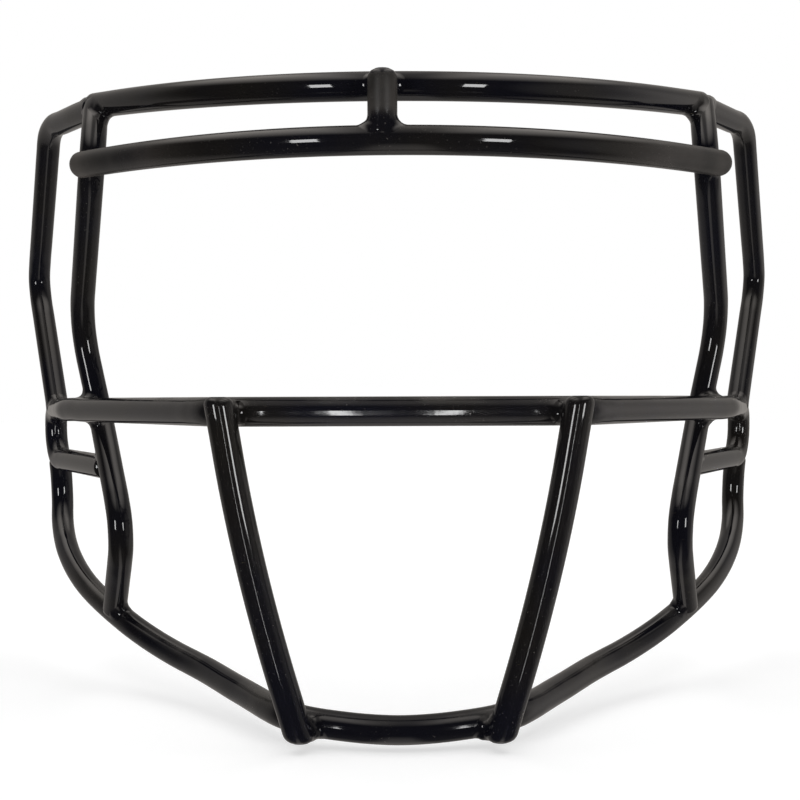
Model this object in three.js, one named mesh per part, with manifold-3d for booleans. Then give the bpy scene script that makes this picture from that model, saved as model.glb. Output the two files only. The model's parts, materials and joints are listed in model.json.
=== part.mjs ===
// Faceguard of a football helmet: round steel wires, bent, welded to each other and then coated black.
// Millimetres. +X is to the right seen from the front, -Y is the front, +Z is up.
// Every wire and every weld bead is a closed solid of its own; the gap between them is FIT_GAP.

import * as THREE from 'three';
import { mergeVertices } from 'three/addons/utils/BufferGeometryUtils.js';
import Module from 'manifold-3d';

const wasm = await Module();
wasm.setup();

// ---- Driving dimensions ------------------------------------------------------------------------

const WIRE_DIAMETER = 6.5;        // 5.7 mm steel wire and 0.4 mm of coating all round
const SECTION_SIDES = 10;         // sides of the polygon that stands for the round section
const RING_STEP = 7;              // spacing of the sections along a wire
const FIT_GAP = 0.3;              // clearance between neighbouring solids
const LAP = WIRE_DIAMETER + 0.4;  // distance between the axes of two wires that cross and touch
const BEAD_RADIUS = 4.9;          // reach of a weld bead from the place where two wires meet
const BEAD_DETAIL = 1;            // subdivisions of the ball that a bead is cut from
const BLOCK_SIDE = 500;           // side of the block that cuts a wire off level
const MEETING_SAMPLES = 500;      // points looked at along a wire to find where it meets another
const MEETING_REACH = 9;          // how far from a stated point two wires are taken to meet
const MERGE_TOLERANCE = 1e-4;     // vertices closer than this are one vertex

// Heights and depths that several wires share. Depths are measured back from the mid wire's front.
const MID_HEIGHT = -2.7;
const UPPER_BROW = { middle: 0, halfSpan: 79, front: 5, sweep: 56, height: 69.1, rise: 8.5 };
const LOWER_BROW = { middle: 0.8, halfSpan: 80.7, front: -2, sweep: 46.2, height: 55.8, rise: 3 };
const POST_OFFSET = -3.4;         // the brow post stands a little left of the middle
const POST_TOP_RISE = 2;          // the post's top above the upper brow wire's axis
const CHIN_HEIGHT = -73;
const VERTICAL_TUCK = 0.2;        // taken off a vertical's lap, because the mid wire bends back there
const UPRIGHT_SHIFT = 0.5;        // both uprights stand this much to the right

// ---- Small helpers -----------------------------------------------------------------------------

const vector = (point) => new THREE.Vector3(point[0], point[1], point[2]);
const mirrored = (point) => [-point[0], ...point.slice(1)];
const shifted = (point) => [point[0] + UPRIGHT_SHIFT, ...point.slice(1)];

// A wire bent at its corners. A corner is [x, y, z, bendRadius]; the first and last are its ends.
function bentWire(corners) {
  const path = new THREE.CurvePath();
  let from = vector(corners[0]);
  for (let i = 1; i < corners.length - 1; i += 1) {
    const corner = vector(corners[i]);
    const back = vector(corners[i - 1]).sub(corner).normalize();
    const ahead = vector(corners[i + 1]).sub(corner).normalize();
    const setback = corners[i][3] / Math.tan(back.angleTo(ahead) / 2);
    const bendStart = corner.clone().addScaledVector(back, setback);
    const bendEnd = corner.clone().addScaledVector(ahead, setback);
    path.add(new THREE.LineCurve3(from, bendStart));
    path.add(new THREE.QuadraticBezierCurve3(bendStart, corner, bendEnd));
    from = bendEnd;
  }
  path.add(new THREE.LineCurve3(from, vector(corners.at(-1))));
  return path;
}

// A shallow bow from side to side that sweeps back and rises towards its ends.
class BowCurve extends THREE.Curve {
  constructor(bow) {
    super();
    this.bow = bow;
  }

  getPoint(t, target = new THREE.Vector3()) {
    const side = 2 * t - 1;
    const { middle, halfSpan, front, sweep, height, rise } = this.bow;
    const across = middle + side * halfSpan;
    return target.set(across, front + sweep * side ** 2, height + rise * side ** 2);
  }
}

function roundSection(diameter) {
  // The polygon has the area of the circle.
  const circleRadius = diameter / 2;
  const turn = (2 * Math.PI) / SECTION_SIDES;
  const radius = circleRadius * Math.sqrt(turn / Math.sin(turn));
  const section = new THREE.Shape();
  for (let i = 0; i < SECTION_SIDES; i += 1) {
    const angle = (i + 0.5) * turn;
    const x = radius * Math.cos(angle);
    const y = radius * Math.sin(angle);
    if (i === 0) section.moveTo(x, y);
    else section.lineTo(x, y);
  }
  section.closePath();
  return section;
}

function toSolid(geometry) {
  const bare = geometry.clone();
  bare.deleteAttribute('normal');
  bare.deleteAttribute('uv');
  const merged = mergeVertices(bare, MERGE_TOLERANCE);
  return new wasm.Manifold(new wasm.Mesh({
    numProp: 3,
    vertProperties: new Float32Array(merged.attributes.position.array),
    triVerts: new Uint32Array(merged.index.array),
  }));
}

function toGeometry(solid) {
  const { vertProperties, triVerts } = solid.getMesh();
  const geometry = new THREE.BufferGeometry();
  geometry.setAttribute('position', new THREE.BufferAttribute(vertProperties, 3));
  geometry.setIndex(new THREE.BufferAttribute(triVerts, 1));
  geometry.computeVertexNormals();
  return geometry;
}

function sweptSolid(curve, diameter) {
  const steps = Math.max(2, Math.ceil(curve.getLength() / RING_STEP));
  return toSolid(new THREE.ExtrudeGeometry(roundSection(diameter), { steps, extrudePath: curve }));
}

// What is left of a solid when its neighbours, each with the clearance round it, are taken away.
function cutBack(solid, cutters) {
  const rest = cutters.reduce((body, cutter) => body.subtract(cutter), solid);
  return rest.decompose().sort((a, b) => b.volume() - a.volume())[0];
}

// ---- Wires: the centre-line of each ------------------------------------------------------------

const centreLines = {};

centreLines.upper_brow_wire = new BowCurve(UPPER_BROW);
centreLines.lower_brow_wire = new BowCurve(LOWER_BROW);

// The post laps the upper brow wire in front and stands on the lower one.
const POST_FRONT = UPPER_BROW.front - LAP;
centreLines.brow_post = bentWire([
  [POST_OFFSET, POST_FRONT, LOWER_BROW.height],
  [POST_OFFSET, POST_FRONT, UPPER_BROW.height + POST_TOP_RISE],
]);

// The mid wire is straight across the front, runs back along both cheeks, turns down in a hairpin
// and comes forward again to the upright.
const midHalf = [
  [39.5, 0, MID_HEIGHT, 14],
  [92.6, 85, -2.2, 40],
  [104.5, 118.5, -2.4, 6.9],
  [103.5, 117, -17, 6.9],
  [79, 72, -17.8],
];
centreLines.mid_wire = bentWire([...midHalf.map(mirrored).reverse(), ...midHalf]);

// The jaw wire hangs from the hairpin, follows the jaw and passes under the chin.
const jawHalf = [
  [12, 6.8, CHIN_HEIGHT + 0.4],
  [24, 11.5, -71.6],
  [37, 31.5, -70.4],
  [49, 49.5, -68.3],
  [61.5, 63, -65.2],
  [73.8, 75, -60.3],
  [89.6, 94, -52],
  [98.4, 109, -44.1],
  [102.7, 120, -36.4],
  [103.8, 124, -27],
  [103.9, 121, -16.5],
];
centreLines.jaw_wire = new THREE.CatmullRomCurve3([
  ...jawHalf.map(mirrored).reverse(),
  [0, 5, CHIN_HEIGHT],
  ...jawHalf,
].map(vector), false, 'centripetal');

// The upright leans back at its top, bends forward at the brow, back beside the eye, forward at the
// cheek and ends on the jaw wire.
const uprightCorners = [
  [80.2, 65.3, 83.3],
  [77, 45, 60.7, 12],
  [88.5, 81.5, 21.5, 22],
  [82.6, 79.5, -4, 25],
  [71.6, 55, -34, 12],
  [78.6, 78, -57],
];

// The temple loop leaves the upright's top, turns down, bends at the side clip and ends on the mid wire.
const templeCorners = [
  [79.2, 59.3, 76.5],
  [99.2, 92, 78.2, 13],
  [113, 131.5, 37.8, 9],
  [101.6, 110, -2.4],
];

// The two verticals lap the mid wire and the jaw wire in front, and lean together downwards.
const VERTICAL_TOP = [38.7, -LAP + VERTICAL_TUCK, 4];
const VERTICAL_BOW = [33.9, -5, -35.5];
const VERTICAL_FOOT = [20.7, 4, -78.5];

for (const [side, place] of [['left', mirrored], ['right', (point) => point]]) {
  centreLines[`${side}_upright`] = bentWire(uprightCorners.map(place).map(shifted));
  centreLines[`${side}_temple_loop`] = bentWire(templeCorners.map(place));
  centreLines[`${side}_vertical`] = new THREE.QuadraticBezierCurve3(
    vector(place(VERTICAL_TOP)), vector(place(VERTICAL_BOW)), vector(place(VERTICAL_FOOT)));
}

// ---- Wires: the solids -------------------------------------------------------------------------

const wires = {};
const clearances = {};
for (const [name, curve] of Object.entries(centreLines)) {
  wires[name] = sweptSolid(curve, WIRE_DIAMETER);
  clearances[name] = sweptSolid(curve, WIRE_DIAMETER + 2 * FIT_GAP);
}

// Where a wire's end is shaped to fit against its neighbours.
const copedAgainst = {
  upper_brow_wire: ['left_upright', 'right_upright'],
  lower_brow_wire: ['left_upright', 'right_upright'],
  brow_post: ['lower_brow_wire'],
  mid_wire: ['left_upright', 'right_upright'],
  jaw_wire: ['mid_wire'],
};
for (const side of ['left', 'right']) {
  copedAgainst[`${side}_temple_loop`] = [`${side}_upright`, 'upper_brow_wire', 'mid_wire'];
  copedAgainst[`${side}_upright`] = ['jaw_wire'];
}

// Free ends that are cut off level: nothing is left above `top` or below `bottom`.
const levelCuts = {
  upright: { top: 79.6 },
  vertical: { top: 0.5, bottom: -75.2 },
};

// A block far bigger than the object, with its underside or its top at the cut.
function blockBeyond(height, direction) {
  const block = new THREE.BoxGeometry(BLOCK_SIDE, BLOCK_SIDE, BLOCK_SIDE);
  block.translate(0, 0, height + (direction * BLOCK_SIDE) / 2);
  return toSolid(block);
}

const solids = {};
for (const [name, solid] of Object.entries(wires)) {
  const cutters = (copedAgainst[name] ?? []).map((neighbour) => clearances[neighbour]);
  const { top, bottom } = levelCuts[name.replace(/^(left|right)_/, '')] ?? {};
  if (top !== undefined) cutters.push(blockBeyond(top, 1));
  if (bottom !== undefined) cutters.push(blockBeyond(bottom, -1));
  solids[name] = cutBack(solid, cutters);
}

// ---- Weld beads --------------------------------------------------------------------------------

// The place on the second wire's surface where the first wire meets it. A pair that meets twice
// says near which point.
function meetingPlace(first, second, near) {
  const within = near ? (point) => point.distanceTo(vector(near)) < MEETING_REACH : () => true;
  const firstPoints = centreLines[first].getSpacedPoints(MEETING_SAMPLES).filter(within);
  const secondPoints = centreLines[second].getSpacedPoints(MEETING_SAMPLES).filter(within);
  const surface = WIRE_DIAMETER / 2;
  let best = { distance: Infinity };
  for (const a of firstPoints) {
    let closest = { distance: Infinity };
    for (const b of secondPoints) {
      const distance = a.distanceTo(b);
      if (distance < closest.distance) closest = { distance, a, b };
    }
    if (closest.distance >= surface && closest.distance < best.distance) best = closest;
  }
  return best.b.clone().lerp(best.a, surface / best.distance);
}

function beadSolid(centre, radius) {
  const ball = new THREE.IcosahedronGeometry(radius, BEAD_DETAIL);
  ball.translate(centre.x, centre.y, centre.z);
  return toSolid(ball);
}

// Each bead is a ring of weld round the place where two wires meet. `clearOf` names other solids
// that the bead has to stay clear of.
function addBead(name, first, second, { near, clearOf = [], radius = BEAD_RADIUS } = {}) {
  const centre = meetingPlace(first, second, near);
  const cutters = [first, second, ...clearOf].map((neighbour) => clearances[neighbour]);
  solids[name] = cutBack(beadSolid(centre, radius), cutters);
  clearances[name] = beadSolid(centre, radius + FIT_GAP);
}

addBead('post_lap_weld', 'brow_post', 'upper_brow_wire');
addBead('post_foot_weld', 'brow_post', 'lower_brow_wire');
for (const [side, sign] of [['left', -1], ['right', 1]]) {
  const upright = `${side}_upright`;
  const loop = `${side}_temple_loop`;
  const vertical = `${side}_vertical`;
  addBead(`${side}_brow_corner_weld`, 'upper_brow_wire', upright, { clearOf: [loop] });
  addBead(`${side}_temple_corner_weld`, loop, upright,
    { clearOf: ['upper_brow_wire', `${side}_brow_corner_weld`] });
  addBead(`${side}_brow_end_weld`, 'lower_brow_wire', upright);
  addBead(`${side}_cheek_crossing_weld`, 'mid_wire', upright, { near: [sign * 83, 78, -3] });
  addBead(`${side}_hairpin_end_weld`, 'mid_wire', upright, { near: [sign * 79, 72, -17] });
  addBead(`${side}_temple_foot_weld`, loop, 'mid_wire');
  addBead(`${side}_jaw_top_weld`, 'jaw_wire', 'mid_wire', { near: [sign * 104, 119, -15] });
  addBead(`${side}_upright_foot_weld`, upright, 'jaw_wire');
  addBead(`${side}_vertical_top_weld`, vertical, 'mid_wire');
  addBead(`${side}_vertical_foot_weld`, vertical, 'jaw_wire');
}

// ---- The assembly ------------------------------------------------------------------------------

const COATING = { color: 0x141519, roughness: 0.28, metalness: 0.1 };

const faceguard = new THREE.Group();
for (const [name, solid] of Object.entries(solids)) {
  const mesh = new THREE.Mesh(toGeometry(solid), new THREE.MeshStandardMaterial(COATING));
  mesh.name = name;
  faceguard.add(mesh);
}

// The origin is the middle of the object's box.
const middle = new THREE.Box3().setFromObject(faceguard, true).getCenter(new THREE.Vector3());
faceguard.position.copy(middle).negate();

const assembly = new THREE.Group();
assembly.add(faceguard);

export default assembly;
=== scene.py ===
"""Faceguard of a football helmet: round coated wires, welded where they meet.

The CAD wires are ten-sided. Here each one gets a round tube along the same centre-line, which is
recovered from the CAD node's own mesh, and each weld gets a body that runs smoothly into the wires.
Metres. +X is to the right seen from the front, -Y is the front, +Z is up.
"""

import heapq
import json
import math

import bmesh
import bpy
import numpy as np
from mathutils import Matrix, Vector


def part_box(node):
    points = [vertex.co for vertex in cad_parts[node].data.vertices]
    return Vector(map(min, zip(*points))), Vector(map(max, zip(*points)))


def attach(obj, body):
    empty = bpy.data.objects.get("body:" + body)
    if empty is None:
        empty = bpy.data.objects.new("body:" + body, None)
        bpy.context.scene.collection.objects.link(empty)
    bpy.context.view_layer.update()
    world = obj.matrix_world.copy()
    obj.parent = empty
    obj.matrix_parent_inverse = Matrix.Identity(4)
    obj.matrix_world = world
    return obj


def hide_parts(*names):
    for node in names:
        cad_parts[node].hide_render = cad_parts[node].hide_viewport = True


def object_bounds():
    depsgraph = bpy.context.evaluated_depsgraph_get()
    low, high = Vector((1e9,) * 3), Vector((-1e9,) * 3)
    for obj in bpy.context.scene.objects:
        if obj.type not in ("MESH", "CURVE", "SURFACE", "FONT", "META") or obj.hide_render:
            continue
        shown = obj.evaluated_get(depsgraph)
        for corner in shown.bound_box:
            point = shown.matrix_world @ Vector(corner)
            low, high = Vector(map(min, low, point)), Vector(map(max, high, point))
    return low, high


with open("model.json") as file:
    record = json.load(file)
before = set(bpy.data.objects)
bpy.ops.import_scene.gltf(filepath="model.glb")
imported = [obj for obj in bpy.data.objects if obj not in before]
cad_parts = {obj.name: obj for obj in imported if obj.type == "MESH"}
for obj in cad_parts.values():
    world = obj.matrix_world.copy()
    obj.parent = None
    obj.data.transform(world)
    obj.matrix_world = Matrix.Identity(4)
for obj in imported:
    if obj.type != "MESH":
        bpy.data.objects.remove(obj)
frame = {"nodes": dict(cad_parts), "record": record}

CAD_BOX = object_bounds()
MM = 0.001

# ---- Driving dimensions --------------------------------------------------------------------------

WIRE_RADIUS = 3.25 * MM         # of a wire with its coat
SECTION_SIDES = 10              # sides of a CAD wire's section
ROUND_SIDES = 40                # sides of a finished tube
TUBE_STEP = 0.8 * MM            # spacing of a finished tube's rings
RING_REACH = 1.6 * MM           # vertices that point at centres this close belong to one ring
RING_SHARE = 0.7                # a ring is complete enough to use with this share of its vertices
RING_ERROR = 0.05               # and if its corners are this near to their radius, as a share of it
LINED_UP = 0.85                 # cosine of the most that one run of rings turns towards the next
LONGEST_NOTCH = 40 * MM         # longest break in the rings that a neighbour's notch makes
STRAIGHT_STEP = 7 * MM          # longest stretch of centre-line without a point of its own
MERGE = 0.01 * MM               # vertices closer than this are one vertex
SPLINE_SAMPLES = 16             # points that the spline gets between two centres
TIP_ASIDE = 1.3 * WIRE_RADIUS   # a wire's tip lies this close to its last rings' line
TIP_AHEAD = 4 * WIRE_RADIUS     # and this close to the last ring
TINY = 1e-12                    # stands in for zero where something is divided by it
NO_LENGTH = 1e-9                # the same for a length in metres

LIP = 2.0 * MM                  # rounding of a wire's cut end
DOME = 0.75 * WIRE_RADIUS       # height of a domed end
LIP_RINGS = 6                   # rings over that rounding
DOME_RINGS = 7                  # rings over a domed end
CAP_RINGS = (0.55, 0.25)        # rings on a level end, as shares of its size
OFF_AXIS = (0.31, 0.52, 0.8)    # a direction that no wire's end runs along

FILLET = 2.0 * MM               # blending distance of a weld
FILLET_INSET = 0.035 * MM       # how far a weld's body lies under the wire's surface beyond the fillet
WELD_REACH = 8.5 * MM           # a weld's body ends this far from the middle of its bead
WELD_CELL = 0.45 * MM           # grid that a weld's surface is found on
WELD_NEIGHBOUR = 6.2 * MM       # wires whose centre-line is this close to a bead are joined by it
WELD_MARGIN = 2 * WELD_CELL     # empty space on that grid round a weld
WIRE_NEAR = 2.2 * WELD_REACH    # points of a wire this close to a bead shape its weld
LINE_SKIP = 2                   # every second of those points is enough
BEAD_NEAR = 2 * WELD_REACH      # two welds closer than this are parted halfway
RIPPLE = 0.13 * MM              # unevenness of the weld metal under the coating
RIPPLE_RATES = (1.6, 1.4, 1.9)  # its waves along X, Y and Z, in radians per millimetre
RIPPLE_SLANT = 0.8              # the last wave's rate along X
RIPPLE_SHARE = 0.7              # the last wave's height, as a share of the others'
RIPPLE_FULL = 0.4 * FILLET      # metal this deep has the whole ripple

# The camera stands in front of the object, about level with its middle.
CAMERA_PLACE = Vector((-1.08, -350.9, -3.83)) * MM
CAMERA_TURN = (90.26, 0.21, -0.25)  # degrees
CAMERA_LENS = 60.07             # millimetres
SENSOR_WIDTH = 36               # millimetres
CLIP_START = 0.01

# ---- Camera --------------------------------------------------------------------------------------


def add_camera():
    data = bpy.data.cameras.new("camera")
    data.lens = CAMERA_LENS
    data.sensor_width = SENSOR_WIDTH
    data.clip_start = CLIP_START
    camera = bpy.data.objects.new("camera", data)
    camera.location = CAMERA_PLACE
    camera.rotation_euler = [math.radians(angle) for angle in CAMERA_TURN]
    bpy.context.scene.collection.objects.link(camera)
    bpy.context.scene.camera = camera


# ---- Centre-lines, from the CAD wires ------------------------------------------------------------


def merged_mesh(node):
    """A CAD node's vertices and triangles, with the vertices that share a place made one."""
    mesh = frame["nodes"][node].data
    mesh.calc_loop_triangles()
    places = np.array([vertex.co for vertex in mesh.vertices], float)
    corners = np.array([triangle.vertices for triangle in mesh.loop_triangles], int)
    keys = np.round(places / MERGE).astype(int)
    _, first, same = np.unique(keys, axis=0, return_index=True, return_inverse=True)
    return places[first], same.reshape(-1)[corners]


def vertex_normals(places, triangles):
    """Each vertex's normal: its triangles' normals, weighted by their angles at it."""
    a, b, c = (places[triangles[:, i]] for i in range(3))
    face = np.cross(b - a, c - a)
    face /= np.maximum(np.linalg.norm(face, axis=1, keepdims=True), TINY)
    normals = np.zeros_like(places)
    for corner, after, before in ((0, 1, 2), (1, 2, 0), (2, 0, 1)):
        here = places[triangles[:, corner]]
        one = places[triangles[:, after]] - here
        two = places[triangles[:, before]] - here
        lengths = np.linalg.norm(one, axis=1) * np.linalg.norm(two, axis=1)
        cosine = (one * two).sum(1) / np.maximum(lengths, TINY)
        angle = np.arccos(np.clip(cosine, -1, 1))
        np.add.at(normals, triangles[:, corner], face * angle[:, None])
    return normals / np.maximum(np.linalg.norm(normals, axis=1, keepdims=True), TINY)


def find_rings(node):
    """The CAD sections of a wire: each ring's centre, and the rings that an edge joins."""
    places, triangles = merged_mesh(node)
    turn = 2 * math.pi / SECTION_SIDES
    corner_radius = WIRE_RADIUS * math.sqrt(turn / math.sin(turn))
    pointed_at = places - corner_radius * vertex_normals(places, triangles)
    ring_of = np.full(len(places), -1)
    centres = []
    order = np.argsort([-(np.linalg.norm(pointed_at - p, axis=1) < RING_REACH).sum() for p in pointed_at])
    for index in order:
        if ring_of[index] >= 0:
            continue
        near = np.linalg.norm(pointed_at - pointed_at[index], axis=1) < RING_REACH
        members = np.flatnonzero(near & (ring_of < 0))
        if len(members) < RING_SHARE * SECTION_SIDES:
            continue
        whole = len(members) == SECTION_SIDES
        centre = (places if whole else pointed_at)[members].mean(0)
        radii = np.linalg.norm(places[members] - centre, axis=1)
        if np.abs(radii / corner_radius - 1).max() > RING_ERROR:
            continue
        ring_of[members] = len(centres)
        centres.append(centre)
    joined = set()
    for one, two in ((0, 1), (1, 2), (2, 0)):
        for a, b in zip(ring_of[triangles[:, one]], ring_of[triangles[:, two]]):
            if a >= 0 and b >= 0 and a != b:
                joined.add((min(a, b), max(a, b)))
    return np.array(centres), joined, places


def longest_run(links, members):
    """The rings from one end of a connected run to the other."""

    def walk(start):
        reached, previous, queue = {start: 0.0}, {}, [(0.0, start)]
        while queue:
            distance, here = heapq.heappop(queue)
            for after, length in links[here].items():
                if distance + length < reached.get(after, math.inf):
                    reached[after], previous[after] = distance + length, here
                    heapq.heappush(queue, (distance + length, after))
        return max(reached, key=reached.get), previous

    last, previous = walk(walk(min(members))[0])
    run = [last]
    while run[-1] in previous:
        run.append(previous[run[-1]])
    return run


def gap_between(first, second):
    """The gap from the end of one run to the start of the next, or none if they don't line up."""
    across = second[0] - first[-1]
    gap = np.linalg.norm(across)
    for run in (first[-2:], second[:2]):
        along = run[-1] - run[0]
        if len(run) == 2 and along @ across < LINED_UP * gap * np.linalg.norm(along):
            return math.inf
    return gap


def chain_rings(centres, joined):
    """The ring centres in order along the wire. A notch for a neighbour breaks the rings into runs,
    which are put end to end where they line up."""
    links = {index: {} for index in range(len(centres))}
    for a, b in joined:
        links[a][b] = links[b][a] = float(np.linalg.norm(centres[a] - centres[b]))
    runs, left = [], set(links)
    while left:
        members, queue = set(), [min(left)]
        while queue:
            here = queue.pop()
            if here not in members:
                members.add(here)
                queue += links[here]
        left -= members
        runs.append(centres[longest_run(links, members)])
    while len(runs) > 1:
        options = [(gap_between(first, second), i, j, turn_i, turn_j)
                   for i, run_i in enumerate(runs) for j, run_j in enumerate(runs) if i < j
                   for turn_i, first in enumerate((run_i, run_i[::-1]))
                   for turn_j, second in enumerate((run_j, run_j[::-1]))]
        gap, i, j, turn_i, turn_j = min(options)
        if gap > LONGEST_NOTCH:
            break
        first = runs[i][::-1] if turn_i else runs[i]
        second = runs[j][::-1] if turn_j else runs[j]
        runs = [run for k, run in enumerate(runs) if k not in (i, j)] + [np.vstack([first, second])]
    return max(runs, key=len)


def with_straights_filled(points):
    """Extra points on the long straight stretches, so that the spline stays straight there."""
    filled = [points[0]]
    for start, end in zip(points, points[1:]):
        pieces = max(1, round(np.linalg.norm(end - start) / STRAIGHT_STEP))
        filled += [start + (end - start) * i / pieces for i in range(1, pieces + 1)]
    return np.array(filled)


def smooth_line(points, step):
    """A centripetal Catmull-Rom spline through the points, with a point every step."""
    padded = np.vstack([2 * points[0] - points[1], points, 2 * points[-1] - points[-2]])
    dense = []
    for p0, p1, p2, p3 in zip(padded, padded[1:], padded[2:], padded[3:]):
        t1 = math.sqrt(np.linalg.norm(p1 - p0))
        t2 = t1 + math.sqrt(np.linalg.norm(p2 - p1))
        t3 = t2 + math.sqrt(np.linalg.norm(p3 - p2))
        for t in np.linspace(t1, t2, SPLINE_SAMPLES, endpoint=False):
            a1 = (t1 - t) / t1 * p0 + t / t1 * p1
            a2 = (t2 - t) / (t2 - t1) * p1 + (t - t1) / (t2 - t1) * p2
            a3 = (t3 - t) / (t3 - t2) * p2 + (t - t2) / (t3 - t2) * p3
            b1 = (t2 - t) / t2 * a1 + t / t2 * a2
            b2 = (t3 - t) / (t3 - t1) * a2 + (t - t1) / (t3 - t1) * a3
            dense.append((t2 - t) / (t2 - t1) * b1 + (t - t1) / (t2 - t1) * b2)
    dense.append(points[-1])
    dense = np.array(dense)
    along = np.concatenate([[0], np.cumsum(np.linalg.norm(np.diff(dense, axis=0), axis=1))])
    count = max(2, round(along[-1] / step))
    marks = np.linspace(0, along[-1], count + 1)
    return np.stack([np.interp(marks, along, dense[:, i]) for i in range(3)], axis=1)


def reach_beyond(point, direction, places):
    """How far the CAD wire goes on past its last whole ring."""
    offset = places - point
    along = offset @ direction
    aside = np.linalg.norm(offset - along[:, None] * direction, axis=1)
    near = (aside < TIP_ASIDE) & (along > 0) & (along < TIP_AHEAD)
    return float(along[near].max()) if near.any() else 0.0


# ---- Wires ---------------------------------------------------------------------------------------

# How each wire's ends are finished. A welded end runs into its neighbour, a level one is cut off
# flat and its rim rounded, and a domed one is round all over.
FREE_ENDS = {
    "lower_brow_wire": "domed",
    "jaw_wire": "domed",
    "brow_post": "level_top",
    "left_upright": "level_top",
    "right_upright": "level_top",
    "left_vertical": "level",
    "right_vertical": "level",
}


def end_finish(node, upper):
    """How one end of a wire is finished. upper says that it is the higher end."""
    finish = FREE_ENDS.get(node, "welded")
    if finish.endswith("_top"):
        return finish.removesuffix("_top") if upper else "welded"
    return finish


def wire_line(node):
    """The smooth centre-line of a CAD wire, out to where the finished wire ends."""
    centres, joined, places = find_rings(node)
    points = chain_rings(centres, joined)
    finishes = []
    for _ in range(2):
        direction = points[-1] - points[-2]
        direction /= np.linalg.norm(direction)
        finish = end_finish(node, points[-1][2] > points[0][2])
        reach = reach_beyond(points[-1], direction, places)
        beyond = {"welded": reach, "domed": reach - DOME, "level": reach + WIRE_RADIUS}[finish]
        end = points[-1] + direction * beyond
        points = np.vstack([points if beyond > 0 else points[:-1], end])
        finishes.append(finish)
        points = points[::-1]
    return smooth_line(with_straights_filled(points), TUBE_STEP), finishes[::-1]


def carried_frames(line):
    """A direction across the line at each point, carried along it without twisting."""
    tangents = np.gradient(line, axis=0)
    tangents /= np.linalg.norm(tangents, axis=1, keepdims=True)
    across = np.cross(tangents[0], OFF_AXIS)
    sides = []
    for tangent in tangents:
        across = across - (across @ tangent) * tangent
        across /= np.linalg.norm(across)
        sides.append(across)
    sides = np.array(sides)
    return tangents, sides, np.cross(tangents, sides)


def dome_rings(centre, outward, rim):
    """Rings that close a tube with a dome. rim holds its last ring, relative to the centre."""
    for turn in np.linspace(0, math.pi / 2, DOME_RINGS + 2)[1:-1]:
        yield centre + rim * math.cos(turn) + outward * DOME * math.sin(turn)


def level_rings(centre, outward, rim, height):
    """Rings that close a tube on a level plane, with a rounded rim."""
    slope = outward[2]
    edge = centre + rim
    edge = edge + outward * ((height - edge[:, 2]) / slope)[:, None]
    hub = centre + outward * ((height - centre[2]) / slope)
    spokes = edge - hub
    share = LIP / WIRE_RADIUS
    for turn in np.linspace(0, math.pi / 2, LIP_RINGS):
        shrunk = hub + spokes * (1 - share * (1 - math.cos(turn)))
        yield shrunk - outward * LIP * (1 - math.sin(turn))
    for part in CAP_RINGS:
        yield hub + spokes * part


def tube_rings(node, line, finishes):
    """A finished wire's rings, from one closed end to the other."""
    low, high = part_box(node)
    tangents, sides, ups = carried_frames(line)
    angles = np.arange(ROUND_SIDES) * 2 * math.pi / ROUND_SIDES
    circle = np.cos(angles)[:, None, None] * sides + np.sin(angles)[:, None, None] * ups
    circle = circle.transpose(1, 0, 2) * WIRE_RADIUS
    rings = [centre + rim for centre, rim in zip(line, circle)]
    closing = {0: [], -1: []}
    for end, sign in ((0, -1), (-1, 1)):
        outward = sign * tangents[end]
        if finishes[end] == "domed":
            closing[end] = list(dome_rings(line[end], outward, circle[end]))
        if finishes[end] == "level":
            height = (high if outward[2] > 0 else low)[2]
            limit = height - math.copysign(WIRE_RADIUS + LIP, outward[2])
            keep = [i for i, point in enumerate(line) if (limit - point[2]) * outward[2] > 0]
            closing[end] = list(level_rings(line[keep[end]], outward, circle[keep[end]], height))
            rings = [ring if i in keep else None for i, ring in enumerate(rings)]
    return closing[0][::-1] + [ring for ring in rings if ring is not None] + closing[-1]


def mesh_object(name, vertices, faces):
    """A smooth-shaded object whose faces all look outward."""
    mesh = bpy.data.meshes.new(name)
    mesh.from_pydata([tuple(v) for v in vertices], [], faces)
    mesh.update()
    build = bmesh.new()
    build.from_mesh(mesh)
    bmesh.ops.recalc_face_normals(build, faces=build.faces)
    build.to_mesh(mesh)
    build.free()
    mesh.polygons.foreach_set("use_smooth", [True] * len(mesh.polygons))
    piece = bpy.data.objects.new(name, mesh)
    bpy.context.scene.collection.objects.link(piece)
    return piece


def add_wire(node, line, finishes):
    """A round tube in place of a CAD wire."""
    rings = tube_rings(node, line, finishes)
    vertices = np.vstack(rings + [rings[0].mean(0)[None], rings[-1].mean(0)[None]])
    faces = []
    for here in range(0, (len(rings) - 1) * ROUND_SIDES, ROUND_SIDES):
        for side in range(ROUND_SIDES):
            after = (side + 1) % ROUND_SIDES
            there = here + ROUND_SIDES
            faces.append((here + side, here + after, there + after, there + side))
    first, last = len(vertices) - 2, len(vertices) - 1
    top = (len(rings) - 1) * ROUND_SIDES
    for side in range(ROUND_SIDES):
        after = (side + 1) % ROUND_SIDES
        faces.append((first, after, side))
        faces.append((last, top + side, top + after))
    return mesh_object(f"round_{node}", vertices, faces)


# ---- Welds ---------------------------------------------------------------------------------------


def nearest_on_line(points, line):
    """Distance from each point to the nearest stretch of a line, and the direction away from it."""
    best = np.full(len(points), np.inf)
    away = np.zeros_like(points)
    for start, end in zip(line, line[1:]):
        along = end - start
        share = np.clip((points - start) @ along / (along @ along), 0, 1)
        offset = points - start - share[:, None] * along
        distance = np.linalg.norm(offset, axis=1)
        nearer = distance < best
        best[nearer] = distance[nearer]
        away[nearer] = offset[nearer]
    return best, away / np.maximum(best, NO_LENGTH)[:, None]


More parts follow.
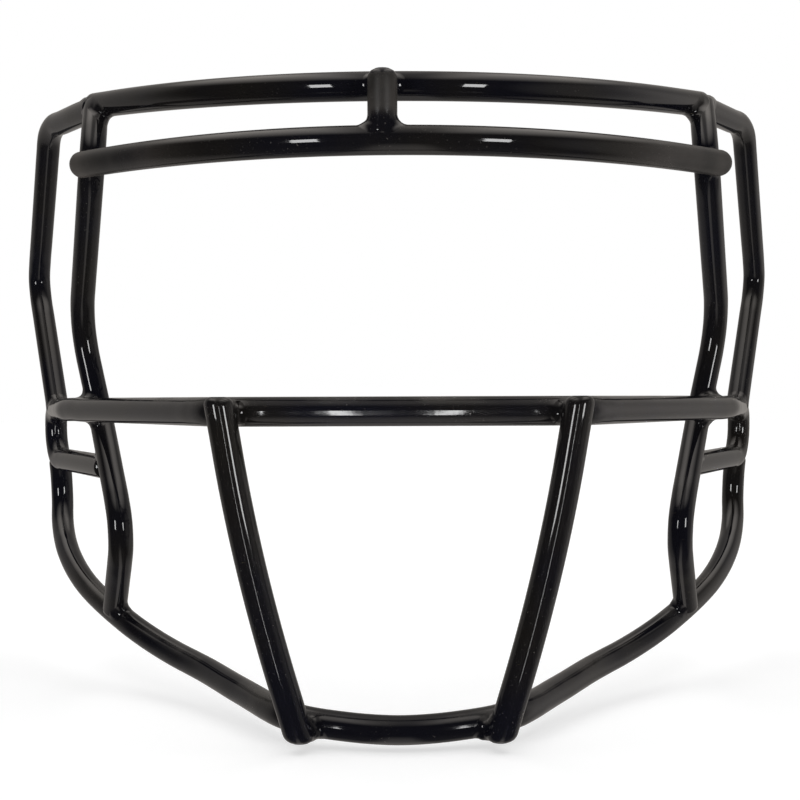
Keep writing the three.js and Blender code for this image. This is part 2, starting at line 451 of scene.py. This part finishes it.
def clear_of_ends(line, finishes):
    """A wire's line for its weld's shape. Its welded ends stop short by the wire's radius, so that
    the round end that a distance gives them stays inside the neighbour."""
    short = int(WIRE_RADIUS / TUBE_STEP)
    first = short if finishes[0] == "welded" else 0
    last = len(line) - (short if finishes[-1] == "welded" else 0)
    return line[first:last]


def smooth_max(a, b, width):
    """The greater of two values, rounded off where they differ by less than width."""
    h = np.maximum(width - np.abs(a - b), 0)
    return np.maximum(a, b) + h * h / (4 * width)


def smooth_min(a, b, width):
    return -smooth_max(-a, -b, width)


def wire_field(points, wire):
    """Signed distance to a finished wire's surface near one weld, and which way the surface faces."""
    distance, away = nearest_on_line(points, wire["near"])
    field = distance - WIRE_RADIUS
    for height, sign in wire["cuts"]:
        field = smooth_max(field, sign * (points[:, 2] - height), LIP)
    return field, away


def ripple(points, centre):
    """Slow unevenness, different at each weld and the same on every run."""
    phase = (centre / MM).sum()
    local = (points - centre) / MM
    x, y, z = local.T
    rate_x, rate_y, rate_z = RIPPLE_RATES
    waves = np.sin(rate_x * x + phase) * np.sin(rate_y * y + 2 * phase)
    return RIPPLE * (waves + RIPPLE_SHARE * np.sin(rate_z * z + RIPPLE_SLANT * x + 3 * phase))


def weld_field(points, centre, wires, others):
    """Below zero inside the weld's body: the wires blended together, near the bead only."""
    joined, facing = wire_field(points, wires[0])
    sharp = joined
    for wire in wires[1:]:
        field, away = wire_field(points, wire)
        # Surfaces that lie flush face the same way, and nothing fills the place between them.
        open_angle = np.sqrt(np.clip((1 - (facing * away).sum(1)) / 2, 0, 1))
        facing = np.where((field < sharp)[:, None], away, facing)
        joined = smooth_min(joined, field, 2 * FILLET * open_angle + NO_LENGTH)
        sharp = np.minimum(sharp, field)
    filled = np.clip((sharp - joined) / RIPPLE_FULL, 0, 1)
    body = joined + FILLET_INSET + ripple(points, centre) * filled
    body = np.maximum(body, np.linalg.norm(points - centre, axis=1) - WELD_REACH)
    for other in others:
        away = other - centre
        halfway = (centre + other) / 2
        beyond = (points - halfway) @ away / np.linalg.norm(away)
        body = np.maximum(body, beyond - FILLET_INSET)
    return body


CELL_CORNERS = np.array([[i, j, k] for i in (0, 1) for j in (0, 1) for k in (0, 1)])
CELL_EDGES = [(a, b) for a in range(8) for b in range(a + 1, 8)
              if np.abs(CELL_CORNERS[a] - CELL_CORNERS[b]).sum() == 1]


def surface_net(field, low, cell, shape):
    """The surface where the field is zero: a vertex in each cell that it crosses, and quads."""
    values = field.reshape(shape)
    inside = values < 0
    cells = tuple(n - 1 for n in shape)
    corner_values = [values[i:i + cells[0], j:j + cells[1], k:k + cells[2]] for i, j, k in CELL_CORNERS]
    total = np.zeros(cells + (3,))
    count = np.zeros(cells)
    for a, b in CELL_EDGES:
        va, vb = corner_values[a], corner_values[b]
        crossing = (va < 0) != (vb < 0)
        share = np.where(crossing, va / np.where(va == vb, 1, va - vb), 0)
        place = CELL_CORNERS[a] + share[..., None] * (CELL_CORNERS[b] - CELL_CORNERS[a])
        total += np.where(crossing[..., None], place, 0)
        count += crossing
    used = count > 0
    number = np.full(cells, -1)
    number[used] = np.arange(used.sum())
    index = np.argwhere(used)
    vertices = low + (index + total[used] / count[used][:, None]) * cell
    faces = []
    for axis in range(3):
        one, two = [a for a in range(3) if a != axis]
        ahead = np.take(inside, range(1, shape[axis]), axis)
        behind = np.take(inside, range(shape[axis] - 1), axis)
        for place in np.argwhere(ahead != behind):
            around = []
            for step_one, step_two in ((0, 0), (-1, 0), (-1, -1), (0, -1)):
                at = place.copy()
                at[one] += step_one
                at[two] += step_two
                around.append(number[tuple(at)] if (at >= 0).all() and (at < cells).all() else -1)
            if min(around) >= 0:
                faces.append(tuple(around))
    return vertices, faces


def add_weld(node, centre, wires, others):
    """A weld's body in place of its CAD bead."""
    half = WELD_REACH + WELD_MARGIN
    steps = int(2 * half / WELD_CELL) + 2
    low = centre - half
    axes = [low[i] + np.arange(steps) * WELD_CELL for i in range(3)]
    grid = np.stack(np.meshgrid(*axes, indexing="ij"), axis=-1).reshape(-1, 3)
    field = weld_field(grid, centre, wires, others)
    vertices, faces = surface_net(field, low, WELD_CELL, (steps, steps, steps))
    return mesh_object(f"fillet_{node}", vertices, faces)


def cut_heights(node):
    """The levels that a wire's ends are cut off at, and the side of each that is taken away."""
    low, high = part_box(node)
    finish = FREE_ENDS.get(node, "")
    cuts = [(high[2], 1)] if finish.startswith("level") else []
    return cuts + ([(low[2], -1)] if finish == "level" else [])


def wires_at(centre, lines):
    """The stretch of each wire that a weld joins, and the levels that its ends are cut off at."""
    wires = []
    for wire, (line, finishes) in lines.items():
        if np.linalg.norm(line - centre, axis=1).min() < WELD_NEIGHBOUR:
            short = clear_of_ends(line, finishes)
            near = np.flatnonzero(np.linalg.norm(short - centre, axis=1) < WIRE_NEAR)
            stretch = short[near.min():near.max() + 1:LINE_SKIP]
            wires.append({"near": stretch, "cuts": cut_heights(wire)})
    return wires


# ---- Materials -----------------------------------------------------------------------------------


class Nodes:
    """Short names for adding and joining shader nodes."""

    def __init__(self, material):
        material.use_nodes = True
        self.tree = material.node_tree
        self.tree.nodes.clear()

    def put(self, socket, value):
        if isinstance(value, bpy.types.NodeSocket):
            self.tree.links.new(value, socket)
        else:
            socket.default_value = value

    def add(self, kind, inputs=(), **settings):
        node = self.tree.nodes.new(kind)
        for name, value in settings.items():
            setattr(node, name, value)
        for name, value in dict(inputs).items():
            self.put(node.inputs[name], value)
        return node

    def noise(self, place, scale, detail, roughness=0.5):
        inputs = {"Vector": place, "Scale": scale, "Detail": detail, "Roughness": roughness}
        return self.add("ShaderNodeTexNoise", inputs).outputs["Fac"]

    def remap(self, value, low, high, to_low, to_high):
        """A smooth step from to_low to to_high while the value goes from low to high."""
        inputs = {"Value": value, "From Min": low, "From Max": high, "To Min": to_low, "To Max": to_high}
        return self.add("ShaderNodeMapRange", inputs, interpolation_type="SMOOTHSTEP").outputs["Result"]

    def pattern(self, place, look, to_low=0, to_high=1):
        """A noise that goes smoothly from to_low to to_high between the look's two values."""
        scale, detail, roughness, low, high = look
        return self.remap(self.noise(place, scale, detail, roughness), low, high, to_low, to_high)

    def math(self, operation, one, two):
        node = self.add("ShaderNodeMath", operation=operation)
        self.put(node.inputs[0], one)
        self.put(node.inputs[1], two)
        return node.outputs[0]

    def mix(self, factor, one, two):
        node = self.add("ShaderNodeMix", data_type="RGBA")
        for index, value in ((0, factor), (6, one), (7, two)):
            self.put(node.inputs[index], value)
        return node.outputs[2]

    def output(self, kind, shader):
        self.tree.links.new(shader.outputs[0], self.add(kind).inputs[0])


WHITE = (1, 1, 1, 1)
BLACK = (0.0035, 0.0035, 0.0055, 1)       # the coat, faintly blue
WARM_BLACK = (0.0065, 0.0058, 0.0052, 1)  # and faintly brown in patches
DUST = (0.19, 0.175, 0.155, 1)
SCUFF = (0.10, 0.085, 0.05, 1)
COAT_IOR = 1.5
SPECULAR_LEVEL = 0.32

# Roughness of the coat's glossiest places, and what is added to it elsewhere.
WIRE_GLOSS = 0.04
POST_GLOSS = 0.05
WELD_GLOSS = 0.05
GLOSS_SPREAD = 0.05
DUST_ROUGHNESS = 1.3                      # for each unit of dust
SCUFF_ROUGHNESS = 0.5                     # for each unit of scuff

# The dull brownish places on the post, and towards the lower brow wire's ends a painted warm sheen,
# lighter and browner than the coat.
DULL_BROWN_AND_SHEEN = (0.046, 0.040, 0.036, 1)
DULL_ROUGHNESS = 0.38                   # added where they are dullest
RUBBED_FADE = 3 * MM                      # from glossy to dull, going up the post
BROW_SHEEN_FROM = 0.5                    # where they start, as a share of the brow's half width

# Noise patterns: cells per metre, octaves, roughness, and the values that each one rises between.
PATCHES = (34, 4, 0.5, 0.35, 0.7)
# The next pattern spreads the post's dull brown and the brow ends' painted warm sheen in patches.
DULL_BROWN_AND_SHEEN_PATCHES = (34, 4, 0.5, 0.3, 0.6)
SPECKS = (1900, 2, 0.6, 0.66, 0.74)
CLOUDS = (60, 3, 0.5, 0.42, 0.68)
SCUFFS = (260, 5, 0.65, 0.69, 0.78)
UNEVEN_GLOSS = (95, 4, 0.5, 0.3, 0.75)
SCUFF_SQUEEZE = (1, 1, 9)                 # makes the scuffs flat: nine times as wide as high
SCUFF_MOST = 0.5
SETTLED_MOST = 0.16                       # dust on the faces that look up
SETTLED_FACES = (0.35, 0.95)              # a normal's upward part, where it starts and is thickest
SPECK_MOST = 0.22                         # dust in specks

# Orange peel, and longer waves in it: cells per metre and octaves.
ORANGE_PEEL = (620, 1.5)
WAVES = (150, 1)
WAVE_SHARE = 1.6                          # the waves' height, as a share of the orange peel's
PEEL_HEIGHT = 0.05 * MM
PEEL_STRENGTH = 0.06
WELD_PEEL = 3 * PEEL_STRENGTH


def coat_material(name, gloss, peel, dull_brown_and_sheen=None):
    """Black powder coat: orange peel, uneven gloss, settled dust and fine scuffs. The last argument gives
    an
    axis and the two distances along it between which the coat turns from glossy to dull and lighter
    brown:
    dull brown on the post, and a painted warm sheen on the lower brow's ends."""
    material = bpy.data.materials.new(name)
    n = Nodes(material)
    place = n.add("ShaderNodeTexCoord").outputs["Object"]
    facing = n.add("ShaderNodeSeparateXYZ", {"Vector": n.add("ShaderNodeNewGeometry").outputs["Normal"]})

    base = n.mix(n.pattern(place, PATCHES), BLACK, WARM_BLACK)
    if dull_brown_and_sheen:
        axis, start, end = dull_brown_and_sheen
        along = n.add("ShaderNodeSeparateXYZ", {"Vector": place}).outputs[axis]
        # Lighter and browner along the axis: dull brown on the post, and a painted warm sheen on the
        # brow's ends.
        dull_brown_and_sheen_mask = n.remap(n.math("ABSOLUTE", along, 0), start, end, 0, 1)
        base = n.mix(dull_brown_and_sheen_mask, base, n.mix(n.pattern(place, DULL_BROWN_AND_SHEEN_PATCHES), WARM_BLACK, DULL_BROWN_AND_SHEEN))

    specks = n.pattern(place, SPECKS)
    clouds = n.pattern(place, CLOUDS)
    upward = n.remap(facing.outputs["Z"], *SETTLED_FACES, 0, 1)
    settled = n.math("MULTIPLY", upward, n.math("MULTIPLY", clouds, SETTLED_MOST))
    specked = n.math("MULTIPLY", specks, n.math("MULTIPLY", clouds, SPECK_MOST))
    dust = n.math("MAXIMUM", settled, specked)

    squeezed = n.add("ShaderNodeMapping", {"Vector": place, "Scale": SCUFF_SQUEEZE}).outputs["Vector"]
    scuffs = n.pattern(squeezed, SCUFFS, 0, SCUFF_MOST)

    color = n.mix(dust, n.mix(scuffs, base, SCUFF), DUST)
    uneven = n.pattern(place, UNEVEN_GLOSS, gloss, gloss + GLOSS_SPREAD)
    dusty = n.math("MULTIPLY", dust, DUST_ROUGHNESS)
    worn = n.math("ADD", dusty, n.math("MULTIPLY", scuffs, SCUFF_ROUGHNESS))
    roughness = n.math("ADD", uneven, worn)
    if dull_brown_and_sheen:
        roughness = n.math("ADD", roughness, n.math("MULTIPLY", dull_brown_and_sheen_mask, DULL_ROUGHNESS))

    waves = n.math("MULTIPLY", n.noise(place, *WAVES), WAVE_SHARE)
    height = n.math("ADD", n.noise(place, *ORANGE_PEEL), waves)
    bump = n.add("ShaderNodeBump", {"Strength": peel, "Distance": PEEL_HEIGHT, "Height": height})

    shader = n.add("ShaderNodeBsdfPrincipled", {
        "Base Color": color, "Roughness": roughness, "Normal": bump.outputs["Normal"],
        "IOR": COAT_IOR, "Specular IOR Level": SPECULAR_LEVEL})
    n.output("ShaderNodeOutputMaterial", shader)
    return material


# ---- Studio --------------------------------------------------------------------------------------

FLOOR_HALF = 6.0
FLOOR_COLOR = (0.5, 0.5, 0.5, 1)
FLOOR_ROUGHNESS = 0.9
FLOOR_GLOW = 0.62                      # the part of the floor's white that no shadow takes away

# Two tall softboxes well to the sides, and two narrow strips near the middle, low down.
SOFTBOX_AZIMUTH = 35                   # degrees to each side of the front
SOFTBOX_DISTANCE = 1.5
SOFTBOX_SIZE = (0.25, 0.5)
SOFTBOX_GLOW = 19
STRIP_DISTANCE = 2.5
STRIP_ASIDE = 0.115
STRIP_HEIGHT = -0.55
STRIP_SIZE = (0.05, 1.6)
STRIP_GLOW = 27

# The surroundings that the wires mirror: their colour, and their brightness, where 1 is white. Each
# pair says where a change begins and ends, along one coordinate of a direction of length 1.
WARM = (1.0, 0.94, 0.88, 1)
FRONT_GLOW = 0.025
SIDE_GLOW = 0.38
FRONT_TO_SIDE = (-0.05, 0.35)
OVERHEAD_MIDDLE = 0.7
OVERHEAD_SIDES = 2.6
OVERHEAD_OUTWARD = (0.08, 0.35)
OVERHEAD_UPWARD = (0.55, 0.97)
RIGHT_GLOW = 0.35
RIGHTWARD = (0.7, 0.95)
BELOW_GLOW = 0.95
BELOW_SIDES = 0.1
BELOW_OUTWARD = (0.08, 0.22)
BELOW_UPWARD = (-1, -0.5)


def add_floor():
    height = CAD_BOX[0][2]
    corners = [(x * FLOOR_HALF, y * FLOOR_HALF, height) for x, y in ((-1, -1), (1, -1), (1, 1), (-1, 1))]
    floor = mesh_object("floor", corners, [(0, 1, 2, 3)])
    material = bpy.data.materials.new("floor")
    n = Nodes(material)
    shader = n.add("ShaderNodeBsdfPrincipled", {
        "Base Color": FLOOR_COLOR, "Roughness": FLOOR_ROUGHNESS, "Specular IOR Level": 0.0,
        "Emission Color": WHITE, "Emission Strength": FLOOR_GLOW})
    n.output("ShaderNodeOutputMaterial", shader)
    floor.data.materials.append(material)
    # The wires mirror what is below the floor, and the strips reach down there, so the floor shows in
    # no reflection and stops no light.
    floor.visible_glossy = False
    floor.visible_shadow = False


def add_area(name, place, target, size, radiance):
    """A rectangular soft light, as bright per area as its radiance says."""
    data = bpy.data.lights.new(name, "AREA")
    data.shape = "RECTANGLE"
    data.size, data.size_y = size
    data.energy = radiance * math.pi * size[0] * size[1]
    light = bpy.data.objects.new(name, data)
    light.location = place
    light.rotation_euler = (Vector(target) - Vector(place)).to_track_quat("-Z", "Y").to_euler()
    bpy.context.scene.collection.objects.link(light)
    return light


def add_sky():
    """The camera sees white. The wires mirror a dim front, grey from the sides to the back, light
    above and below, and a little more from the right."""
    world = bpy.data.worlds.new("studio")
    bpy.context.scene.world = world
    n = Nodes(world)
    way = n.add("ShaderNodeSeparateXYZ", {"Vector": n.add("ShaderNodeTexCoord").outputs["Generated"]})
    path = n.add("ShaderNodeLightPath")
    seen = path.outputs["Is Camera Ray"]
    around = n.remap(way.outputs["Y"], *FRONT_TO_SIDE, FRONT_GLOW, SIDE_GLOW)
    off_middle = n.math("ABSOLUTE", way.outputs["X"], 0)
    overhead_here = n.remap(off_middle, *OVERHEAD_OUTWARD, OVERHEAD_MIDDLE, OVERHEAD_SIDES)
    overhead = n.math("MULTIPLY", n.remap(way.outputs["Z"], *OVERHEAD_UPWARD, 0, 1), overhead_here)
    below_here = n.remap(off_middle, *BELOW_OUTWARD, BELOW_GLOW, BELOW_SIDES)
    below = n.math("MULTIPLY", n.remap(way.outputs["Z"], *BELOW_UPWARD, 1, 0), below_here)
    right = n.remap(way.outputs["X"], *RIGHTWARD, 0, RIGHT_GLOW)
    glow = n.math("ADD", n.math("MAXIMUM", around, n.math("MAXIMUM", overhead, below)), right)
    strength = n.math("ADD", n.math("MULTIPLY", glow, n.math("SUBTRACT", 1, seen)), seen)
    color = n.mix(path.outputs["Is Glossy Ray"], WHITE, WARM)
    background = n.add("ShaderNodeBackground", {"Color": color, "Strength": strength})
    n.output("ShaderNodeOutputWorld", background)


def light_only(light, pieces):
    """Links the light to these pieces. It falls on nothing else."""
    lit = bpy.data.collections.new(f"lit_by_{light.name}")
    for piece in pieces:
        lit.objects.link(piece)
    light.light_linking.receiver_collection = lit


def add_lights(pieces):
    """A strip and a softbox on each side. A strip lights only the mid wire and the vertical on the
    other side."""
    middle = (0, 0, 0)
    azimuth = math.radians(SOFTBOX_AZIMUTH)
    for side_name, other_side, side in (("left", "right", -1), ("right", "left", 1)):
        place = (side * STRIP_ASIDE, -STRIP_DISTANCE, STRIP_HEIGHT)
        strip = add_area(f"{side_name}_strip", place, middle, STRIP_SIZE, STRIP_GLOW)
        light_only(strip, [pieces["mid_wire"], pieces[f"{other_side}_vertical"]])
        place = (side * SOFTBOX_DISTANCE * math.sin(azimuth), -SOFTBOX_DISTANCE * math.cos(azimuth), 0)
        add_area(f"{side_name}_softbox", place, middle, SOFTBOX_SIZE, SOFTBOX_GLOW)


# ---- The object ----------------------------------------------------------------------------------


def build_object():
    """Every wire and weld, each in place of its CAD node."""
    slots = {entry["node"]: entry["material_slot"] for entry in frame["record"]["subparts"]}
    materials = {
        "coated_wire": coat_material("coated_wire", WIRE_GLOSS, PEEL_STRENGTH),
        "coated_weld": coat_material("coated_weld", WELD_GLOSS, WELD_PEEL),
    }
    post_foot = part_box("brow_post")[0][2] + WIRE_RADIUS
    brow_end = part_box("lower_brow_wire")[1][0]
    dull_brown_and_sheen = {
        "brow_post": coat_material(
            "rubbed_post", POST_GLOSS, PEEL_STRENGTH, ("Z", post_foot, post_foot + RUBBED_FADE)),
        # The lower brow's ends get a painted warm sheen, lighter and browner than the coat, and they are
        # duller.
        "lower_brow_wire": coat_material(
            "painted_sheen_brow", WIRE_GLOSS, PEEL_STRENGTH, ("X", BROW_SHEEN_FROM * brow_end, brow_end)),
    }
    beads = {name: sum(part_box(name), Vector()) / 2 for name in frame["nodes"] if name.endswith("_weld")}
    lines = {name: wire_line(name) for name in sorted(frame["nodes"]) if name not in beads}

    pieces = {name: add_wire(name, *lines[name]) for name in lines}
    for name in sorted(beads):
        centre = np.array(beads[name])
        others = [np.array(place) for other, place in beads.items()
                  if other != name and (place - beads[name]).length < BEAD_NEAR]
        pieces[name] = add_weld(name, centre, wires_at(centre, lines), others)

    for name, piece in pieces.items():
        piece.data.materials.append(dull_brown_and_sheen.get(name, materials[slots[name]]))
        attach(piece, "root")
        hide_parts(name)
    return pieces


add_camera()
pieces = build_object()
add_floor()
add_sky()
add_lights(pieces)
bpy.context.scene.view_settings.view_transform = "Standard"
